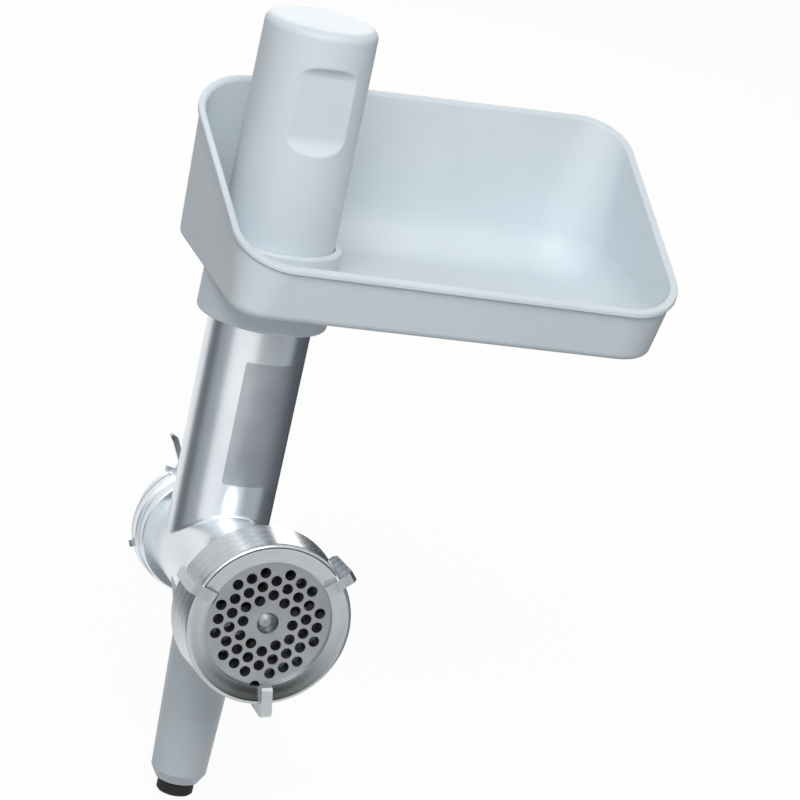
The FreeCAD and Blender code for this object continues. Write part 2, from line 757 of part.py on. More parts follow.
def tray_plan(insets, corners, widening, spread, place):
    # Rounded outline of the tray, drawn in from the rim on each side. It widens towards its right end
    # and spreads towards its back.
    left, right = -TRAY_LEFT + insets[0], TRAY_RIGHT - insets[1]
    front, back = -TRAY_FRONT + insets[2], TRAY_BACK - insets[3]

    def spot(x, y):
        along = (x - left) / (right - left)
        across = (y - front) / (back - front)
        return place(x + spread * across * (2 * along - 1), y + widening * along * (2 * across - 1))

    def bend(x, y, run_x, run_y):
        bow = 1 - math.sqrt(0.5)
        return spot(x + bow * run_x, y + bow * run_y)
    front_left, front_right, back_right, back_left = corners
    return outline(spot(left + front_left, front), [
        spot(right - front_right, front),
        (bend(right, front, -front_right, front_right), spot(right, front + front_right)),
        spot(right, back - back_right),
        (bend(right, back, -back_right, -back_right), spot(right - back_right, back)),
        spot(left + back_left, back),
        (bend(left, back, back_left, -back_left), spot(left, back - back_left)),
        spot(left, front + front_left),
        (bend(left, front, front_left, front_left), spot(left + front_left, front)),
    ])


def on_slope(front_z, rise):
    # Places in a plane that rises from the tray's front to its back.
    slope = rise / (TRAY_BACK + TRAY_FRONT)

    def place(x, y):
        return point(x, TUBE_Y + y, front_z + slope * (y + TRAY_FRONT))
    return place


def on_base(lift):
    return on_slope(TRAY_BASE_Z + lift, TRAY_BASE_RISE)


def on_rim(drop):
    return on_slope(TRAY_BASE_Z + TRAY_FRONT_WALL - drop, TRAY_BACK_WALL - TRAY_FRONT_WALL)


def rim_plan(inset, drop):
    corners = [radius - inset for radius in TRAY_RIM_CORNERS]
    return tray_plan([inset] * 4, corners, TRAY_RIM_WIDENING, TRAY_RIM_SPREAD, on_rim(drop))


def base_plan(insets, corners, lift):
    return tray_plan(insets, corners, TRAY_BASE_WIDENING, TRAY_BASE_SPREAD, on_base(lift))


def base_edges(shape, place):
    # Edges of a solid that lie in the plane of place.
    found = []
    for edge in shape.Edges:
        heights = [spot.z - place(spot.x, spot.y - TUBE_Y).z for spot in edge.discretize(3)]
        if max(abs(height) for height in heights) < 0.01:
            found.append(edge)
    return found


def tray_outside():
    base = base_plan(TRAY_BASE_INSETS, TRAY_BASE_CORNERS, 0.0)
    wall = Part.makeLoft([base, rim_plan(RIM_BEAD, 0.0)], True, True)
    wall = wall.makeFillet(TRAY_BASE_FILLET, base_edges(wall, on_base(0.0)))
    bead = Part.makeLoft([
        rim_plan(RIM_ROUND, RIM_BEAD_H),
        rim_plan(0.0, RIM_BEAD_H - RIM_ROUND),
        rim_plan(0.0, RIM_ROUND),
        rim_plan(RIM_ROUND / 4, RIM_ROUND / 4),
        rim_plan(RIM_ROUND, 0.0),
    ], True, True)
    return wall.fuse(bead)


def tray_inside():
    insets = [inset + TRAY_WALL for inset in TRAY_BASE_INSETS]
    floor = base_plan(insets, [TRAY_FLOOR_CORNER_R] * 4, TRAY_WALL)
    inset = RIM_BEAD + TRAY_WALL
    hollow = Part.makeLoft([floor, rim_plan(inset, 0.0)], True, True)
    hollow = hollow.makeFillet(TRAY_FLOOR_FILLET, base_edges(hollow, on_base(TRAY_WALL)))
    edge = Part.makeLoft([rim_plan(inset, RIM_ROUND), rim_plan(inset - RIM_ROUND, 0.0)], True, True)
    return hollow.fuse(edge)


def make_collar():
    # Ring that runs from the tube's top through the tray's floor, with rounded edges.
    bend = COLLAR_EDGE_R * (1 - math.sqrt(0.5))
    return upright([
        (0, COLLAR_LOW_Z),
        (COLLAR_R - COLLAR_EDGE_R, COLLAR_LOW_Z),
        (COLLAR_R - bend, COLLAR_LOW_Z + bend, COLLAR_R, COLLAR_LOW_Z + COLLAR_EDGE_R),
        (COLLAR_R, THROAT_TOP_Z - COLLAR_EDGE_R),
        (COLLAR_R - bend, THROAT_TOP_Z - bend, COLLAR_R - COLLAR_EDGE_R, THROAT_TOP_Z),
        (0, THROAT_TOP_Z),
    ], TUBE_Y)


def make_feed_tray():
    collar = make_collar()
    socket = column(SOCKET_R, COLLAR_LOW_Z, LEDGE_Z, TUBE_Y)
    passage = column(TUBE_BORE_R, COLLAR_LOW_Z, THROAT_TOP_Z, TUBE_Y)
    throat = column(PUSHER_R + SLIDING_FIT, LEDGE_Z + LEDGE_T, THROAT_TOP_Z, TUBE_Y)
    notch = tube_key(SLIDING_FIT, COLLAR_LOW_Z - OVERCUT)
    shell = tray_outside().cut(tray_inside())
    return shell.fuse(collar).cut([socket, passage, throat, notch])


def cove_run(radius, depth):
    # How far a cove of this radius runs while it climbs by depth.
    return math.sqrt(depth * (2 * radius - depth))


def grip_cutter(depth_offset):
    # Prism that cuts a thumb flat into the front of the pusher, with a cove at either end.
    flat_y = TUBE_Y - PUSHER_R + GRIP_DEPTH + depth_offset
    depth = GRIP_DEPTH + depth_offset + OVERCUT
    middle = depth / 3
    low_r = GRIP_LOW_COVE_R + depth_offset
    high_r = GRIP_HIGH_COVE_R + depth_offset
    low = GRIP_LOW_Z + cove_run(GRIP_LOW_COVE_R, GRIP_DEPTH)
    high = GRIP_HIGH_Z - cove_run(GRIP_HIGH_COVE_R, GRIP_DEPTH)
    x = -PUSHER_R - OVERCUT
    wire = outline(point(x, flat_y - depth, low - cove_run(low_r, depth)), [
        (point(x, flat_y - middle, low - cove_run(low_r, middle)), point(x, flat_y, low)),
        point(x, flat_y, high),
        (point(x, flat_y - middle, high + cove_run(high_r, middle)),
         point(x, flat_y - depth, high + cove_run(high_r, depth))),
    ])
    return Part.Face(wire).extrude(point(-2 * x, 0, 0))


def grip_cutters(depth_offset):
    front = grip_cutter(depth_offset)
    back = front.copy()
    back.rotate(point(0, TUBE_Y, 0), point(0, 0, 1), 180)
    return [front, back]


def grip_edges(handle):
    # Edges where the thumb flats meet the round of the handle.
    found = []
    for edge in handle.Edges:
        box = edge.BoundBox
        level_ends = box.ZMin > GRIP_LOW_Z - OVERCUT and box.ZMax < GRIP_HIGH_Z + OVERCUT
        middle = edge.valueAt((edge.FirstParameter + edge.LastParameter) / 2)
        reach = math.hypot(middle.x, middle.y - TUBE_Y)
        if level_ends and reach > PUSHER_R - 2 * PUSHER_DRAFT:
            found.append(edge)
    return found


def make_pusher_shell():
    bend = PUSHER_EDGE_R * (1 - math.sqrt(0.5))
    stem_low = STEM_END_Z + END_PLATE_T
    top_r = PUSHER_R - PUSHER_DRAFT
    outside = upright([
        (0, stem_low),
        (STEM_R, stem_low),
        (STEM_R, HANDLE_LOW_Z),
        (PUSHER_R, HANDLE_LOW_Z),
        (top_r, PUSHER_TOP_Z - PUSHER_EDGE_R),
        (top_r - bend, PUSHER_TOP_Z - bend, top_r - PUSHER_EDGE_R, PUSHER_TOP_Z),
        (0, PUSHER_TOP_Z),
    ], TUBE_Y)
    hollow = upright([
        (0, stem_low),
        (STEM_R - PUSHER_WALL, stem_low),
        (STEM_R - PUSHER_WALL, HANDLE_LOW_Z + PUSHER_WALL),
        (PUSHER_R - PUSHER_WALL, HANDLE_LOW_Z + PUSHER_WALL),
        (top_r - PUSHER_WALL, PUSHER_TOP_Z - PUSHER_EDGE_R),
        (top_r - PUSHER_EDGE_R, PUSHER_TOP_Z - PUSHER_WALL),
        (0, PUSHER_TOP_Z - PUSHER_WALL),
    ], TUBE_Y)
    hollow = hollow.cut(grip_cutters(PUSHER_WALL))
    handle = outside.cut(grip_cutters(0.0))
    handle = handle.makeFillet(GRIP_EDGE_R, grip_edges(handle))
    return handle.cut(hollow)


def make_pusher_end_plate():
    stem_low = STEM_END_Z + END_PLATE_T
    plug_r = STEM_R - PUSHER_WALL
    return upright([
        (0, STEM_END_Z),
        (STEM_R - FOOT_EDGE_R, STEM_END_Z),
        (STEM_R, STEM_END_Z + FOOT_EDGE_R),
        (STEM_R, stem_low),
        (plug_r, stem_low),
        (plug_r, stem_low + END_PLUG_LENGTH),
        (plug_r - PUSHER_WALL, stem_low + END_PLUG_LENGTH),
        (plug_r - PUSHER_WALL, stem_low),
        (0, stem_low),
    ], TUBE_Y)


PIECES = {
    "grinder_housing": make_housing,
    "bayonet_plate": make_bayonet_plate,
    "bayonet_screws": make_bayonet_screws,
    "rear_bush": make_rear_bush,
    "shaft_seal": make_shaft_seal,
    "disc_key_pin": key_pin,
    "support_post": make_support_post,
    "post_screw": make_post_screw,
    "post_foot": make_post_foot,
    "feed_tray": make_feed_tray,
    "pusher_shell": make_pusher_shell,
    "pusher_end_plate": make_pusher_end_plate,
    "worm": make_worm,
    "worm_stud": make_worm_stud,
    "knife": make_knife,
    "thrust_washer": make_thrust_washer,
    "drive_coupling": make_drive_coupling,
    "coupling_screw": make_coupling_screw,
    "perforated_disc": make_perforated_disc,
    "ring_nut": make_ring_nut,
}

os.makedirs("parts", exist_ok=True)
for name, make in PIECES.items():
    solid = make()
    solid.exportStep("parts/" + name + ".step")
    state = "valid" if solid.isValid() else "INVALID"
    print(name, len(solid.Solids), "solids", round(solid.Volume), "mm3", state)
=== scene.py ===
"""Looks of a meat grinder head that a kitchen machine drives from behind.

Metres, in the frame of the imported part: the barrel lies along Y with its front
towards -Y, and +Z runs up the feed tube. Sizes of pieces are written in millimetres.
"""

import logging
import math
from dataclasses import dataclass, field
from enum import Enum
from typing import Any

import bmesh
import bpy
from mathutils import Matrix, Vector


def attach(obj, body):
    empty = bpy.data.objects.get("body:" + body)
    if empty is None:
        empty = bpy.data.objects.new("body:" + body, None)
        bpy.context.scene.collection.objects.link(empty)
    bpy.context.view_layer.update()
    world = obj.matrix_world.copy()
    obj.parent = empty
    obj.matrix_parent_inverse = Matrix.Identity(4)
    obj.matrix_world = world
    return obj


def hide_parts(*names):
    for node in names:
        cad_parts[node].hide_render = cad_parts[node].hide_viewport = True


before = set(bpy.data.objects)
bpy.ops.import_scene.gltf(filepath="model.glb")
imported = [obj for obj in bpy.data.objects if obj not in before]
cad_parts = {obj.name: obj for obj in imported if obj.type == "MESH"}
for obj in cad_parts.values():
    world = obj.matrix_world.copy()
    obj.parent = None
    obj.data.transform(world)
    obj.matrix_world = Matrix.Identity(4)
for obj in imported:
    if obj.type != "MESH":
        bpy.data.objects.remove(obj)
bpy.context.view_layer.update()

MM = 0.001

# Points closer than this become one, and edges sharper than this stay sharp.
WELD_MM = 0.001
SHARP_DEG = 30.0

# Height of grain and tool marks, before a finish's own depth thins it.
FINE_RELIEF_MM = 0.05

# A wave texture runs through this many radians per unit of scaled length.
WAVE_RADIANS = 20.0

# Noise stays mostly between these, so most finishes blend their two colours there.
BLEND_FROM, BLEND_TO = 0.3, 0.7

# Sockets of a colour mix, whose names repeat for each kind of data.
MIX_FACTOR, MIX_FIRST, MIX_SECOND, MIX_RESULT = 0, 6, 7, 2

Profile = tuple[tuple[float, float], ...]

log = logging.getLogger("grinder_head")


class Axis(Enum):
    """Axis that a lathe left its marks about."""

    X = "X"
    Y = "Y"
    Z = "Z"


def linear(colour: str) -> tuple[float, float, float, float]:
    """Turn an sRGB hex colour into linear RGBA.

    Args:
        colour: Six hex digits after a hash sign.

    Returns:
        The colour as four linear numbers, with an alpha of 1.
    """
    parts = []
    for start in (1, 3, 5):
        value = int(colour[start:start + 2], 16) / 255
        parts.append(value / 12.92 if value <= 0.04045 else ((value + 0.055) / 1.055) ** 2.4)
    return parts[0], parts[1], parts[2], 1.0


def per_mm(size_mm: float) -> float:
    """Give the texture scale at which a pattern repeats about every size_mm millimetres."""
    return 1.0 / (size_mm * MM)


def add(tree: bpy.types.NodeTree, kind: str, settings: dict[str, Any] | None = None,
        inputs: dict[str | int, Any] | None = None,
        stops: tuple[tuple[float, str], ...] = ()) -> bpy.types.Node:
    """Add a node with its settings and links.

    Args:
        tree: Node tree that takes the node.
        kind: Blender's name of the node's type.
        settings: Attributes of the node and their values.
        inputs: Input sockets, by name or number, and a value or an output socket for each.
        stops: Place and sRGB hex colour of each stop, where the node blends colours.

    Returns:
        The new node.
    """
    node = tree.nodes.new(kind)
    for name, value in (settings or {}).items():
        setattr(node, name, value)
    for number, (place, colour) in enumerate(stops):
        stop = node.color_ramp.elements[number]
        stop.position = place
        stop.color = linear(colour)
    for name, value in (inputs or {}).items():
        if isinstance(value, bpy.types.NodeSocket):
            tree.links.new(value, node.inputs[name])
        else:
            node.inputs[name].default_value = value
    return node


def new_material(name: str) -> tuple[bpy.types.Material, bpy.types.NodeTree]:
    """Make an empty node material.

    Args:
        name: Name of the material.

    Returns:
        The material and its empty node tree.
    """
    material = bpy.data.materials.new(name)
    material.use_nodes = True
    material.node_tree.nodes.clear()
    return material, material.node_tree


def seen_directly(tree: bpy.types.NodeTree) -> bpy.types.NodeSocket:
    """Tell rays that show the background from those that only light the object.

    Args:
        tree: Node tree that takes the nodes.

    Returns:
        An output that is 1 for camera, glossy and transmission rays and else 0.
    """
    path = add(tree, "ShaderNodeLightPath")
    seen = add(tree, "ShaderNodeMath", {"operation": "MAXIMUM"}, {
        0: path.outputs["Is Camera Ray"], 1: path.outputs["Is Glossy Ray"]})
    seen = add(tree, "ShaderNodeMath", {"operation": "MAXIMUM"}, {
        0: seen.outputs["Value"], 1: path.outputs["Is Transmission Ray"]})
    return seen.outputs["Value"]


def as_object(name: str, shape: bmesh.types.BMesh, material: bpy.types.Material) -> bpy.types.Object:
    """Turn a finished bmesh into a smooth object with one material.

    Args:
        name: Name of the object and its mesh.
        shape: The mesh, which is freed.
        material: Its material.

    Returns:
        The object, linked to the scene.
    """
    bmesh.ops.remove_doubles(shape, verts=shape.verts, dist=WELD_MM * MM)
    bmesh.ops.recalc_face_normals(shape, faces=shape.faces)
    mesh = bpy.data.meshes.new(name)
    shape.to_mesh(mesh)
    shape.free()
    mesh.materials.append(material)
    mesh.set_sharp_from_angle(angle=math.radians(SHARP_DEG))
    made = bpy.data.objects.new(name, mesh)
    bpy.context.scene.collection.objects.link(made)
    log.info("made %s with %d faces", name, len(mesh.polygons))
    return made


@dataclass(frozen=True)
class MouldedPlastic:
    """Injection-moulded plastic: a satin skin with a fine eroded grain and faint clouding."""

    name: str
    colour: str
    shade: str
    roughness: float
    gloss_spread: float = 0.05
    # Real grain is finer: this is as coarse as it needs to be to show in the render.
    grain_mm: float = 0.9
    grain_depth: float = 0.05
    cloud_mm: float = 45.0
    cloud_start: float = 0.35
    cloud_end: float = 0.65
    ior: float = 1.5

    def build(self) -> bpy.types.Material:
        """Make the material.

        Returns:
            The plastic, with cloudy colour and grained gloss.
        """
        material, tree = new_material(self.name)
        coords = add(tree, "ShaderNodeTexCoord").outputs["Object"]
        clouds = add(tree, "ShaderNodeTexNoise", inputs={
            "Vector": coords, "Scale": per_mm(self.cloud_mm), "Detail": 3.0})
        colour = add(tree, "ShaderNodeValToRGB", inputs={"Fac": clouds.outputs["Fac"]},
                     stops=((self.cloud_start, self.shade), (self.cloud_end, self.colour)))
        grain = add(tree, "ShaderNodeTexNoise", inputs={
            "Vector": coords, "Scale": per_mm(self.grain_mm), "Detail": 2.0})
        gloss = add(tree, "ShaderNodeMapRange", inputs={
            "Value": grain.outputs["Fac"],
            "To Min": self.roughness - self.gloss_spread,
            "To Max": self.roughness + self.gloss_spread})
        bump = add(tree, "ShaderNodeBump", inputs={
            "Height": grain.outputs["Fac"], "Strength": self.grain_depth,
            "Distance": FINE_RELIEF_MM * MM})
        shader = add(tree, "ShaderNodeBsdfPrincipled", inputs={
            "Base Color": colour.outputs["Color"], "Roughness": gloss.outputs["Result"],
            "Normal": bump.outputs["Normal"], "IOR": self.ior})
        add(tree, "ShaderNodeOutputMaterial", inputs={"Surface": shader.outputs["BSDF"]})
        return material


@dataclass(frozen=True)
class CastAluminium:
    """Die-cast aluminium, vibratory polished: bright, with soft dimples left from the casting."""

    name: str
    colour: str
    shade: str
    roughness: float
    smoother: float = 0.02
    rougher: float = 0.03
    # Real polishing marks are finer: this is as coarse as they need to be to show.
    grain_mm: float = 0.6
    cloud_mm: float = 18.0
    dimple_mm: float = 6.0
    dimple_height_mm: float = 0.3
    dimple_depth: float = 0.03

    def build(self) -> bpy.types.Material:
        """Make the material.

        Returns:
            The metal, with clouded colour, grained gloss and soft dimples.
        """
        material, tree = new_material(self.name)
        coords = add(tree, "ShaderNodeTexCoord").outputs["Object"]
        clouds = add(tree, "ShaderNodeTexNoise", inputs={
            "Vector": coords, "Scale": per_mm(self.cloud_mm), "Detail": 4.0})
        colour = add(tree, "ShaderNodeValToRGB", inputs={"Fac": clouds.outputs["Fac"]},
                     stops=((BLEND_FROM, self.shade), (BLEND_TO, self.colour)))
        grain = add(tree, "ShaderNodeTexNoise", inputs={
            "Vector": coords, "Scale": per_mm(self.grain_mm), "Detail": 2.0})
        gloss = add(tree, "ShaderNodeMapRange", inputs={
            "Value": grain.outputs["Fac"],
            "To Min": self.roughness - self.smoother,
            "To Max": self.roughness + self.rougher})
        dimples = add(tree, "ShaderNodeTexNoise", inputs={
            "Vector": coords, "Scale": per_mm(self.dimple_mm), "Detail": 1.0})
        bump = add(tree, "ShaderNodeBump", inputs={
            "Height": dimples.outputs["Fac"], "Strength": self.dimple_depth,
            "Distance": self.dimple_height_mm * MM})
        shader = add(tree, "ShaderNodeBsdfPrincipled", inputs={
            "Base Color": colour.outputs["Color"], "Roughness": gloss.outputs["Result"],
            "Normal": bump.outputs["Normal"], "Metallic": 1.0})
        add(tree, "ShaderNodeOutputMaterial", inputs={"Surface": shader.outputs["BSDF"]})
        return material


@dataclass(frozen=True)
class TurnedMetal:
    """Metal finished on a lathe: rings on the faces and bands on the sides fan the light out."""

    name: str
    colour: str
    shade: str
    roughness: float = 0.22
    smoother: float = 0.05
    rougher: float = 0.08
    # Real tool marks are finer: this is as coarse as they need to be to show.
    ring_mm: float = 4.4
    ring_depth: float = 0.12
    stain_mm: float = 14.0
    anisotropy: float = 0.6
    axis: Axis = Axis.Y

    def build(self) -> bpy.types.Material:
        """Make the material.

        Returns:
            The metal, with rings about its axis.
        """
        material, tree = new_material(self.name)
        coords = add(tree, "ShaderNodeTexCoord").outputs["Object"]
        wave = {"Vector": coords, "Scale": math.tau / (WAVE_RADIANS * self.ring_mm * MM),
                "Distortion": 1.5, "Detail": 2.0, "Detail Scale": 0.6}
        rings = add(tree, "ShaderNodeTexWave", {
            "wave_type": "RINGS", "rings_direction": self.axis.value}, wave)
        bands = add(tree, "ShaderNodeTexWave", {
            "wave_type": "BANDS", "bands_direction": self.axis.value}, wave)
        marks = add(tree, "ShaderNodeMath", {"operation": "ADD"}, {
            0: rings.outputs["Fac"], 1: bands.outputs["Fac"]})
        stain = add(tree, "ShaderNodeTexNoise", inputs={
            "Vector": coords, "Scale": per_mm(self.stain_mm), "Detail": 4.0})
        colour = add(tree, "ShaderNodeValToRGB", inputs={"Fac": stain.outputs["Fac"]},
                     stops=((BLEND_FROM, self.shade), (BLEND_TO, self.colour)))
        # Rings and bands add up to 2 at the most.
        gloss = add(tree, "ShaderNodeMapRange", inputs={
            "Value": marks.outputs["Value"], "From Max": 2.0,
            "To Min": self.roughness - self.smoother,
            "To Max": self.roughness + self.rougher})
        bump = add(tree, "ShaderNodeBump", inputs={
            "Height": marks.outputs["Value"], "Strength": self.ring_depth,
            "Distance": FINE_RELIEF_MM * MM})
        tangent = add(tree, "ShaderNodeTangent", {
            "direction_type": "RADIAL", "axis": self.axis.value})
        shader = add(tree, "ShaderNodeBsdfPrincipled", inputs={
            "Base Color": colour.outputs["Color"], "Roughness": gloss.outputs["Result"],
            "Normal": bump.outputs["Normal"], "Tangent": tangent.outputs["Tangent"],
            "Metallic": 1.0, "Anisotropic": self.anisotropy})
        add(tree, "ShaderNodeOutputMaterial", inputs={"Surface": shader.outputs["BSDF"]})
        return material


@dataclass(frozen=True)
class GroundMetal:
    """Surface-ground metal: an even grey with short fine scratches one way."""

    name: str
    colour: str
    shade: str
    roughness: float = 0.36
    gloss_spread: float = 0.1
    # Real scratches are narrower: this is as coarse as they need to be to show.
    scratch_mm: float = 0.5
    scratch_length_mm: float = 14.0
    scratch_turn_deg: float = 24.0
    scratch_depth: float = 0.12
    stain_mm: float = 9.0

    def build(self) -> bpy.types.Material:
        """Make the material.

        Returns:
            The metal, with stretched scratches.
        """
        material, tree = new_material(self.name)
        coords = add(tree, "ShaderNodeTexCoord").outputs["Object"]
        across = per_mm(self.scratch_mm)
        stretch = add(tree, "ShaderNodeMapping", inputs={
            "Vector": coords, "Rotation": (0.0, math.radians(self.scratch_turn_deg), 0.0),
            "Scale": (per_mm(self.scratch_length_mm), across, across)})
        scratches = add(tree, "ShaderNodeTexNoise", inputs={
            "Vector": stretch.outputs["Vector"], "Scale": 1.0, "Detail": 3.0})
        stain = add(tree, "ShaderNodeTexNoise", inputs={
            "Vector": coords, "Scale": per_mm(self.stain_mm), "Detail": 5.0})
        colour = add(tree, "ShaderNodeValToRGB", inputs={"Fac": stain.outputs["Fac"]},
                     stops=((BLEND_FROM, self.shade), (BLEND_TO, self.colour)))
        gloss = add(tree, "ShaderNodeMapRange", inputs={
            "Value": scratches.outputs["Fac"],
            "To Min": self.roughness - self.gloss_spread,
            "To Max": self.roughness + self.gloss_spread})
        bump = add(tree, "ShaderNodeBump", inputs={
            "Height": scratches.outputs["Fac"], "Strength": self.scratch_depth,
            "Distance": FINE_RELIEF_MM * MM})
        shader = add(tree, "ShaderNodeBsdfPrincipled", inputs={
            "Base Color": colour.outputs["Color"], "Roughness": gloss.outputs["Result"],
            "Normal": bump.outputs["Normal"], "Metallic": 1.0})
        add(tree, "ShaderNodeOutputMaterial", inputs={"Surface": shader.outputs["BSDF"]})
        return material


@dataclass(frozen=True)
class MouldedRubber:
    """Moulded black rubber: dull, with a dusty bloom and a fine grain."""

    name: str
    colour: str
    bloom: str
    roughness: float = 0.75
    # Real grain is finer: this is as coarse as it needs to be to show in the render.
    grain_mm: float = 0.8
    grain_depth: float = 0.2
    bloom_start: float = 0.4
    bloom_end: float = 0.8

    def build(self) -> bpy.types.Material:
        """Make the material.

        Returns:
            The rubber, with bloom on its high spots.
        """
        material, tree = new_material(self.name)
        coords = add(tree, "ShaderNodeTexCoord").outputs["Object"]
        grain = add(tree, "ShaderNodeTexNoise", inputs={
            "Vector": coords, "Scale": per_mm(self.grain_mm), "Detail": 4.0})
        colour = add(tree, "ShaderNodeValToRGB", inputs={"Fac": grain.outputs["Fac"]},
                     stops=((self.bloom_start, self.colour), (self.bloom_end, self.bloom)))
        bump = add(tree, "ShaderNodeBump", inputs={
            "Height": grain.outputs["Fac"], "Strength": self.grain_depth,
            "Distance": FINE_RELIEF_MM * MM})
        shader = add(tree, "ShaderNodeBsdfPrincipled", inputs={
            "Base Color": colour.outputs["Color"], "Roughness": self.roughness,
            "Normal": bump.outputs["Normal"]})
        add(tree, "ShaderNodeOutputMaterial", inputs={"Surface": shader.outputs["BSDF"]})
        return material


Finish = MouldedPlastic | CastAluminium | TurnedMetal | GroundMetal | MouldedRubber

# Satin from an eroded mould, so that light spreads softly over the bowl and the pusher.
PALE_ABS = MouldedPlastic("pale_grey_abs_moulded", "#d9e2e8", "#d4dde3", roughness=0.5)

# From a smoother mould, so that the leg has a slight sheen.
GREY_ABS = MouldedPlastic("grey_abs_moulded", "#ced7dd", "#c8d1d7", roughness=0.38)

# Slippery bearing plastic: waxy, black in the coupling, off-white in the bush and the washer.
BLACK_POM = MouldedPlastic("black_pom_moulded", "#26272a", "#1e1f21", roughness=0.4)
WHITE_POM = MouldedPlastic("white_pom_machined", "#e6e6e0", "#dcdcd5", roughness=0.4)
WASHER_POM = MouldedPlastic("white_pom_stamped", "#e2e2dc", "#d8d8d0", roughness=0.45)

# Polished outside, so that the studio shows in it as soft bands. The worm is only tumbled.
CASTING = CastAluminium("aluminium_die_cast_polished", "#ebf0f4", "#e1e7ec", roughness=0.3)
WORM_CASTING = CastAluminium("aluminium_die_cast_tumbled", "#c9ccce", "#b9bcbe", roughness=0.36)

# Turned and then polished, so that the rings hardly show and the light fans out.
NUT_ALUMINIUM = TurnedMetal("aluminium_turned_polished", "#c0c4c7", "#b6babd", ring_depth=0.015)

# Bright plating over stamped or headed steel, and a bare turned stud that looks darker.
PLATE_STEEL = TurnedMetal("steel_stamped_zinc_plated", "#c4c7ca", "#b3b6ba",
                          roughness=0.18, anisotropy=0.2)
PIN_STEEL = TurnedMetal("steel_headed_zinc_plated", "#c9ccce", "#b8bbbe", anisotropy=0.3)
STUD_STEEL = TurnedMetal("steel_turned", "#a2a5a8", "#94979a", roughness=0.26)

# Ground flat, so that the disc is an even grey. The knife is painted dark: painted shade in the disc's
# holes.
DISC_STEEL = GroundMetal("stainless_steel_ground", "#aeb1b4", "#a1a4a7")
KNIFE_PAINTED_SHADE = GroundMetal("carbon_steel_ground_painted_shade", "#3c3d3f", "#2c2d2f", roughness=0.45)

# Duller than the casting round it, so that the plate's edge shows.
LABEL_FOIL = GroundMetal("aluminium_foil_satin", "#b8bdc3", "#aeb3b9", roughness=0.5)

# Nearly black and without shine.
FOOT_RUBBER = MouldedRubber("black_rubber_moulded", "#0d0d0e", "#1b1b1c")


def dress(node: str, material: bpy.types.Material) -> None:
    """Give a CAD node its material.

    Args:
        node: Name of the node.
        material: Material that takes the place of what it has.
    """
    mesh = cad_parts[node].data
    mesh.materials.clear()
    mesh.materials.append(material)
    log.info("dressed %s in %s", node, material.name)


@dataclass(frozen=True)
class Lamp:
    """Square soft studio lamp that faces the object. Metres and watts."""

    name: str
    place: tuple[float, float, float]
    size: float
    power: float


@dataclass(frozen=True)
class Flag:
    """Grey card that stands round the object and shows only in reflections.

    Bearings are counted from the side that faces the camera, positive to the camera's right.
    Each long edge is given by its radius and height in metres.
    """

    name: str
    from_deg: float
    to_deg: float
    colour: str
    fluff: str
    near: tuple[float, float] = (0.15, -0.09)
    far: tuple[float, float] = (0.7, 0.3)


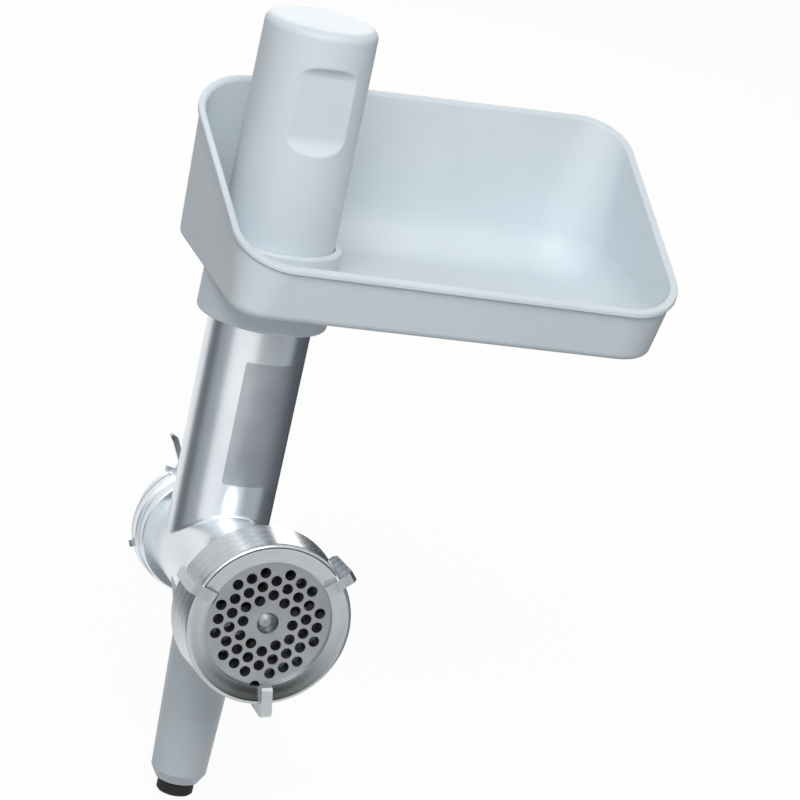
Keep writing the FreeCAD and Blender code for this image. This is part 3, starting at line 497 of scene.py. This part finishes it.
@dataclass
class Stage:
    """Pale floor, soft studio light, grey flags and the camera. Metres.

    floor_bounce is the floor's colour for light that it throws on the object. white_share is
    how much plain white is in what is seen of the floor. world_fill is the world's strength
    as a light.
    """

    floor_z: float = -94.6 * MM
    floor_size: float = 14.0
    floor_colour: str = "#f4f4f4"
    floor_bounce: str = "#babcbe"
    white_share: float = 0.94
    world_fill: float = 0.28
    lens_mm: float = 225.0
    sensor_mm: float = 36.0
    view_depth: float = 100.0
    camera_at: tuple[float, float, float] = (-0.6158, -1.7439, 0.5995)
    target: tuple[float, float, float] = (0.05705, -0.040, 0.07214)
    roll_deg: float = 12.37
    flag_centre: tuple[float, float] = (0.0, -0.06)
    flag_steps: int = 24
    fluff_mm: float = 20.0
    lamps: tuple[Lamp, ...] = (
        Lamp("key", (-0.42, -1.2, 1.2), 1.0, 20.5),
        Lamp("top_back", (0.35, 0.9, 1.5), 0.9, 2.8),
        Lamp("back", (0.3, 1.3, 0.75), 1.0, 6.0),
    )
    flags: tuple[Flag, ...] = (
        Flag("left_flag", -120.0, -88.0, "#666b70", "#6c7176"),
        Flag("left_soft_flag", -88.0, -54.0, "#aeb3b8", "#b4b9be"),
        Flag("right_soft_flag", 58.0, 100.0, "#b8bdc2", "#bec3c8"),
        Flag("right_flag", 100.0, 171.0, "#595e63", "#5f6469"),
        Flag("front_flag", 10.0, 60.0, "#141516", "#1a1b1c", near=(0.55, -0.09), far=(0.6, 0.14)),
    )

    def build(self) -> None:
        """Make the floor, the flags, the lights, the world and the camera."""
        self.make_floor()
        for flag in self.flags:
            self.make_flag(flag)
        self.make_world()
        for lamp in self.lamps:
            self.make_lamp(lamp)
        self.make_camera()
        bpy.context.scene.view_settings.view_transform = "Standard"

    def make_floor(self) -> None:
        """Lay the floor under the foot."""
        shape = bmesh.new()
        bmesh.ops.create_grid(shape, x_segments=1, y_segments=1, size=self.floor_size / 2,
                              matrix=Matrix.Translation((0, 0, self.floor_z)))
        floor = as_object("floor", shape, self.floor_material())

    def floor_material(self) -> bpy.types.Material:
        """Make the floor's white paper, which keeps a faint shadow and throws little light up.

        Returns:
            The floor's material.
        """
        material, tree = new_material("white_paper_floor")
        seen = seen_directly(tree)
        share = add(tree, "ShaderNodeMath", {"operation": "MULTIPLY"}, {0: seen, 1: self.white_share})
        shade = add(tree, "ShaderNodeMix", {"data_type": "RGBA"}, {
            MIX_FACTOR: seen,
            MIX_FIRST: linear(self.floor_bounce),
            MIX_SECOND: linear(self.floor_colour)})
        paper = add(tree, "ShaderNodeBsdfDiffuse", inputs={"Color": shade.outputs[MIX_RESULT]})
        white = add(tree, "ShaderNodeEmission", inputs={"Strength": 1.0})
        mixed = add(tree, "ShaderNodeMixShader", inputs={
            0: share.outputs["Value"], 1: paper.outputs["BSDF"], 2: white.outputs["Emission"]})
        add(tree, "ShaderNodeOutputMaterial", inputs={"Surface": mixed.outputs["Shader"]})
        return material

    def felt_material(self, flag: Flag) -> bpy.types.Material:
        """Make the felt of a flag, dull and slightly fluffy.

        Args:
            flag: The flag, which gives the colours.

        Returns:
            The felt.
        """
        material, tree = new_material(flag.name + "_felt")
        coords = add(tree, "ShaderNodeTexCoord").outputs["Object"]
        fluff = add(tree, "ShaderNodeTexNoise", inputs={
            "Vector": coords, "Scale": per_mm(self.fluff_mm)})
        colour = add(tree, "ShaderNodeValToRGB", inputs={"Fac": fluff.outputs["Fac"]},
                     stops=((BLEND_FROM, flag.colour), (BLEND_TO, flag.fluff)))
        felt = add(tree, "ShaderNodeBsdfDiffuse", inputs={"Color": colour.outputs["Color"]})
        add(tree, "ShaderNodeOutputMaterial", inputs={"Surface": felt.outputs["BSDF"]})
        return material

    def make_flag(self, flag: Flag) -> None:
        """Stand a flag along an arc round the object.

        Args:
            flag: Its bearings and its two long edges.
        """
        facing = math.atan2(self.camera_at[1] - self.target[1], self.camera_at[0] - self.target[0])
        start = facing + math.radians(flag.from_deg)
        across, along = self.flag_centre
        shape = bmesh.new()
        ends = [shape.verts.new((across + radius * math.cos(start), along + radius * math.sin(start), z))
                for radius, z in (flag.near, flag.far)]
        edge = shape.edges.new(ends)
        bmesh.ops.spin(shape, geom=[*ends, edge], cent=(across, along, 0.0), axis=(0.0, 0.0, 1.0),
                       angle=math.radians(flag.to_deg - flag.from_deg), steps=self.flag_steps,
                       use_merge=False)
        card = as_object(flag.name, shape, self.felt_material(flag))
        card.visible_camera = False
        card.visible_diffuse = False
        card.visible_transmission = False
        card.visible_shadow = False

    def make_world(self) -> None:
        """Surround the stage with white that lights it softly."""
        world = bpy.data.worlds.new("white_studio")
        bpy.context.scene.world = world
        world.use_nodes = True
        tree = world.node_tree
        tree.nodes.clear()
        strength = add(tree, "ShaderNodeMapRange", inputs={
            "Value": seen_directly(tree), "To Min": self.world_fill, "To Max": 1.0})
        light = add(tree, "ShaderNodeBackground", inputs={
            "Color": (1.0, 1.0, 1.0, 1.0), "Strength": strength.outputs["Result"]})
        add(tree, "ShaderNodeOutputWorld", inputs={"Surface": light.outputs["Background"]})

    def make_lamp(self, lamp: Lamp) -> None:
        """Hang a lamp.

        Args:
            lamp: Its place, size and power.
        """
        data = bpy.data.lights.new(lamp.name, "AREA")
        data.energy = lamp.power
        data.size = lamp.size
        hung = bpy.data.objects.new(lamp.name, data)
        hung.location = lamp.place
        aim = Vector(self.target) - Vector(lamp.place)
        hung.rotation_euler = aim.to_track_quat("-Z", "Y").to_euler()
        bpy.context.scene.collection.objects.link(hung)

    def make_camera(self) -> None:
        """Set the camera at the photograph's viewing angle, turned about its own axis as there."""
        data = bpy.data.cameras.new("camera")
        data.lens = self.lens_mm
        data.sensor_width = self.sensor_mm
        data.sensor_fit = "HORIZONTAL"
        data.clip_end = self.view_depth
        camera = bpy.data.objects.new("camera", data)
        aim = Vector(self.target) - Vector(self.camera_at)
        look = aim.to_track_quat("-Z", "Y").to_matrix().to_4x4()
        turn = Matrix.Rotation(math.radians(self.roll_deg), 4, "Z")
        camera.matrix_world = Matrix.Translation(self.camera_at) @ look @ turn
        bpy.context.scene.collection.objects.link(camera)
        bpy.context.scene.camera = camera


@dataclass
class Housing:
    """The casting with its bare label plate and mouth thread, and what is fixed to it.

    The label's angles are counted from the front, positive towards +X.
    """

    tube_y: float = -26.3
    tube_foot_r: float = 19.3
    tube_draft_deg: float = 0.33
    label_from_deg: float = -25.0
    label_to_deg: float = 52.0
    label_low_z: float = 33.0
    label_high_z: float = 82.0
    label_corner: float = 1.2
    label_corner_steps: int = 5
    label_proud: float = 0.1
    label_steps: int = 14
    mouth_r: float = 29.3
    thread_from_y: float = -99.6
    thread_to_y: float = -87.0
    thread_pitch: float = 3.0
    thread_root: float = 1.8
    thread_crest: float = 0.6
    thread_height: float = 0.15
    thread_steps: int = 64

    def build(self) -> None:
        """Dress the casting and the leg, and add the label plate and the thread."""
        casting = CASTING.build()
        dress("grinder_housing", casting)
        dress("bayonet_plate", PLATE_STEEL.build())
        dress("rear_bush", WHITE_POM.build())
        rubber = FOOT_RUBBER.build()
        dress("shaft_seal", rubber)
        dress("post_foot", rubber)
        dress("support_post", GREY_ABS.build())
        self.make_label()
        self.make_thread(casting)

    def label_end(self, z: float) -> tuple[float, float, float]:
        """Find an end of the label's first upright edge.

        Args:
            z: Height of the end in millimetres.

        Returns:
            The end in metres, slightly proud of the tube's skin.
        """
        radius = self.tube_foot_r + math.tan(math.radians(self.tube_draft_deg)) * z + self.label_proud
        angle = math.radians(self.label_from_deg)
        return radius * math.sin(angle) * MM, (self.tube_y - radius * math.cos(angle)) * MM, z * MM

    def make_label(self) -> None:
        """Wrap a bare foil plate with rounded corners round the tube."""
        shape = bmesh.new()
        ends = [shape.verts.new(self.label_end(z)) for z in (self.label_low_z, self.label_high_z)]
        edge = shape.edges.new(ends)
        bmesh.ops.spin(shape, geom=[*ends, edge], cent=(0.0, self.tube_y * MM, 0.0),
                       axis=(0.0, 0.0, 1.0), steps=self.label_steps, use_merge=False,
                       angle=math.radians(self.label_to_deg - self.label_from_deg))
        corners = [vert for vert in shape.verts if len(vert.link_edges) == 2]
        bmesh.ops.bevel(shape, geom=corners, offset=self.label_corner * MM, offset_type="OFFSET",
                        affect="VERTICES", segments=self.label_corner_steps, profile=0.5, material=-1)
        bmesh.ops.recalc_face_normals(shape, faces=shape.faces)
        bmesh.ops.solidify(shape, geom=shape.faces[:], thickness=2 * self.label_proud * MM)
        label = as_object("bare_label_plate", shape, LABEL_FOIL.build())
        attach(label, "housing")

    def make_thread(self, casting: bpy.types.Material) -> None:
        """Wind the nut's thread round the mouth of the casting.

        Args:
            casting: Material of the casting.
        """
        turns = (self.thread_to_y - self.thread_from_y) / self.thread_pitch
        root, crest = self.thread_root / 2, self.thread_crest / 2
        rise = -self.thread_pitch / self.thread_steps * MM
        shape = bmesh.new()
        corners = [shape.verts.new(((self.mouth_r + lift) * MM, (self.thread_to_y + along) * MM, 0.0))
                   for along, lift in ((-root, -self.thread_height), (-crest, self.thread_height),
                                       (crest, self.thread_height), (root, -self.thread_height))]
        section = shape.faces.new(corners)
        bmesh.ops.spin(shape, geom=[*corners, *section.edges, section], axis=(0.0, -1.0, 0.0),
                       dvec=(0.0, rise, 0.0), angle=math.tau * turns,
                       steps=round(turns * self.thread_steps), use_merge=False)
        log.info("wound %.1f turns of thread", turns)
        thread = as_object("mouth_thread", shape, casting)
        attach(thread, "housing")


@dataclass
class Feeding:
    """The tray and the pusher."""

    nodes: tuple[str, ...] = ("feed_tray", "pusher_shell", "pusher_end_plate")

    def build(self) -> None:
        """Dress the tray and the pusher in the same plastic."""
        plastic = PALE_ABS.build()
        for node in self.nodes:
            dress(node, plastic)


@dataclass
class Cutting:
    """The worm, the knife, the disc, the nut and the coupling."""

    finishes: dict[str, Finish] = field(default_factory=lambda: {
        "worm": WORM_CASTING,
        "worm_stud": STUD_STEEL,
        # The knife's dark colour is painted shade that keeps the disc's holes black.
        "knife": KNIFE_PAINTED_SHADE,
        "perforated_disc": DISC_STEEL,
        "ring_nut": NUT_ALUMINIUM,
        "thrust_washer": WASHER_POM,
        "drive_coupling": BLACK_POM,
    })

    def build(self) -> None:
        """Dress the cutting set and its drive."""
        for node, finish in self.finishes.items():
            dress(node, finish.build())


@dataclass
class Screws:
    """The key pin and the screws. Heads with a cross recess face +Y.

    A profile gives radius and y from the rim of the head to the tip. Each arm of the cross
    reaches recess_share of the head's radius, and its bottom is recess_taper of its top.
    """

    plate_circle_r: float = 22.25
    plate_turn_deg: float = 30.0
    plate_count: int = 3
    plate_profile: Profile = ((2.3, 0.0), (1.2, -1.1), (1.2, -7.0))
    coupling_profile: Profile = ((3.2, 8.0), (3.6, 7.6), (3.6, 5.5), (2.0, 5.5), (2.0, -10.5))
    recess_arm: float = 0.55
    recess_depth: float = 0.5
    recess_share: float = 0.62
    recess_taper: float = 0.7
    steps: int = 48

    def build(self) -> None:
        """Make the plate's and the coupling's screws and dress the key pin and the leg's screw."""
        steel = PIN_STEEL.build()
        dress("disc_key_pin", steel)
        dress("post_screw", steel)
        turn = math.radians(self.plate_turn_deg)
        centre = (self.plate_circle_r * math.cos(turn), self.plate_circle_r * math.sin(turn))
        shape = self.make_screw(centre, self.plate_profile)
        bmesh.ops.spin(shape, geom=[*shape.verts, *shape.edges, *shape.faces], axis=(0.0, 1.0, 0.0),
                       angle=math.tau * (1 - 1 / self.plate_count), steps=self.plate_count - 1,
                       use_duplicate=True)
        plate_screws = as_object("plate_screws_cross_recess", shape, steel)
        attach(plate_screws, "housing")
        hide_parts("bayonet_screws")
        shape = self.make_screw((0.0, 0.0), self.coupling_profile)
        coupling_screw = as_object("coupling_screw_cross_recess", shape, steel)
        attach(coupling_screw, "rotor")
        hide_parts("coupling_screw")

    def make_screw(self, centre: tuple[float, float], profile: Profile) -> bmesh.types.BMesh:
        """Turn a screw and press a cross into its head.

        Args:
            centre: Its axis in x and z, in millimetres.
            profile: Radius and y from the rim of the head to the tip.

        Returns:
            The screw's mesh.
        """
        head_r, head_y = profile[0]
        tip_y = profile[-1][1]
        axis = Vector((centre[0], 0.0, centre[1])) * MM
        head = axis + Vector((0.0, head_y * MM, 0.0))
        shape = bmesh.new()
        points = [shape.verts.new(axis + Vector((radius, y, 0.0)) * MM)
                  for radius, y in (*profile, (0.0, tip_y))]
        edges = [shape.edges.new(pair) for pair in zip(points, points[1:])]
        bmesh.ops.spin(shape, geom=[*points, *edges], cent=axis, axis=(0.0, 1.0, 0.0),
                       angle=math.tau, steps=self.steps, use_merge=True)
        bmesh.ops.remove_doubles(shape, verts=shape.verts, dist=WELD_MM * MM)
        cross = self.lay_cross(shape, head, head_r * self.recess_share)
        bmesh.ops.triangle_fill(shape, edges=[edge for edge in shape.edges if edge.is_boundary],
                                normal=(0.0, 1.0, 0.0), use_beauty=True)
        pressed = bmesh.ops.extrude_face_region(shape, geom=cross)["geom"]
        bmesh.ops.delete(shape, geom=cross, context="FACES")
        bottom = [piece for piece in pressed if isinstance(piece, bmesh.types.BMVert)]
        bmesh.ops.translate(shape, verts=bottom, vec=(0.0, -self.recess_depth * MM, 0.0))
        bmesh.ops.scale(shape, verts=bottom, vec=(self.recess_taper, 1.0, self.recess_taper),
                        space=Matrix.Translation(-head))
        return shape

    def lay_cross(self, shape: bmesh.types.BMesh, head: Vector,
                  reach: float) -> list[bmesh.types.BMFace]:
        """Lay a flat cross on the head of a screw.

        Args:
            shape: Mesh that takes the cross.
            head: Middle of the head in metres.
            reach: Length of an arm in millimetres, from the middle.

        Returns:
            The five faces of the cross.
        """
        half = self.recess_arm / 2
        place = Matrix.Translation(head) @ Matrix.Rotation(math.pi / 2, 4, "X")
        square = bmesh.ops.create_grid(shape, x_segments=1, y_segments=1, size=half * MM,
                                       matrix=place)["verts"]
        faces = list(square[0].link_faces)
        for edge in faces[0].edges[:]:
            outward = ((edge.verts[0].co + edge.verts[1].co) / 2 - head).normalized()
            arm = bmesh.ops.extrude_edge_only(shape, edges=[edge])["geom"]
            tips = [piece for piece in arm if isinstance(piece, bmesh.types.BMVert)]
            bmesh.ops.translate(shape, verts=tips, vec=outward * (reach - half) * MM)
            faces += [piece for piece in arm if isinstance(piece, bmesh.types.BMFace)]
        return faces


def main() -> None:
    """Build the stage and dress each sub-assembly."""
    logging.basicConfig(level=logging.INFO, format="%(name)s: %(message)s")
    for part in (Stage(), Housing(), Feeding(), Cutting(), Screws()):
        part.build()
        log.info("built %s", type(part).__name__)


if __name__ == "__main__":
    main()
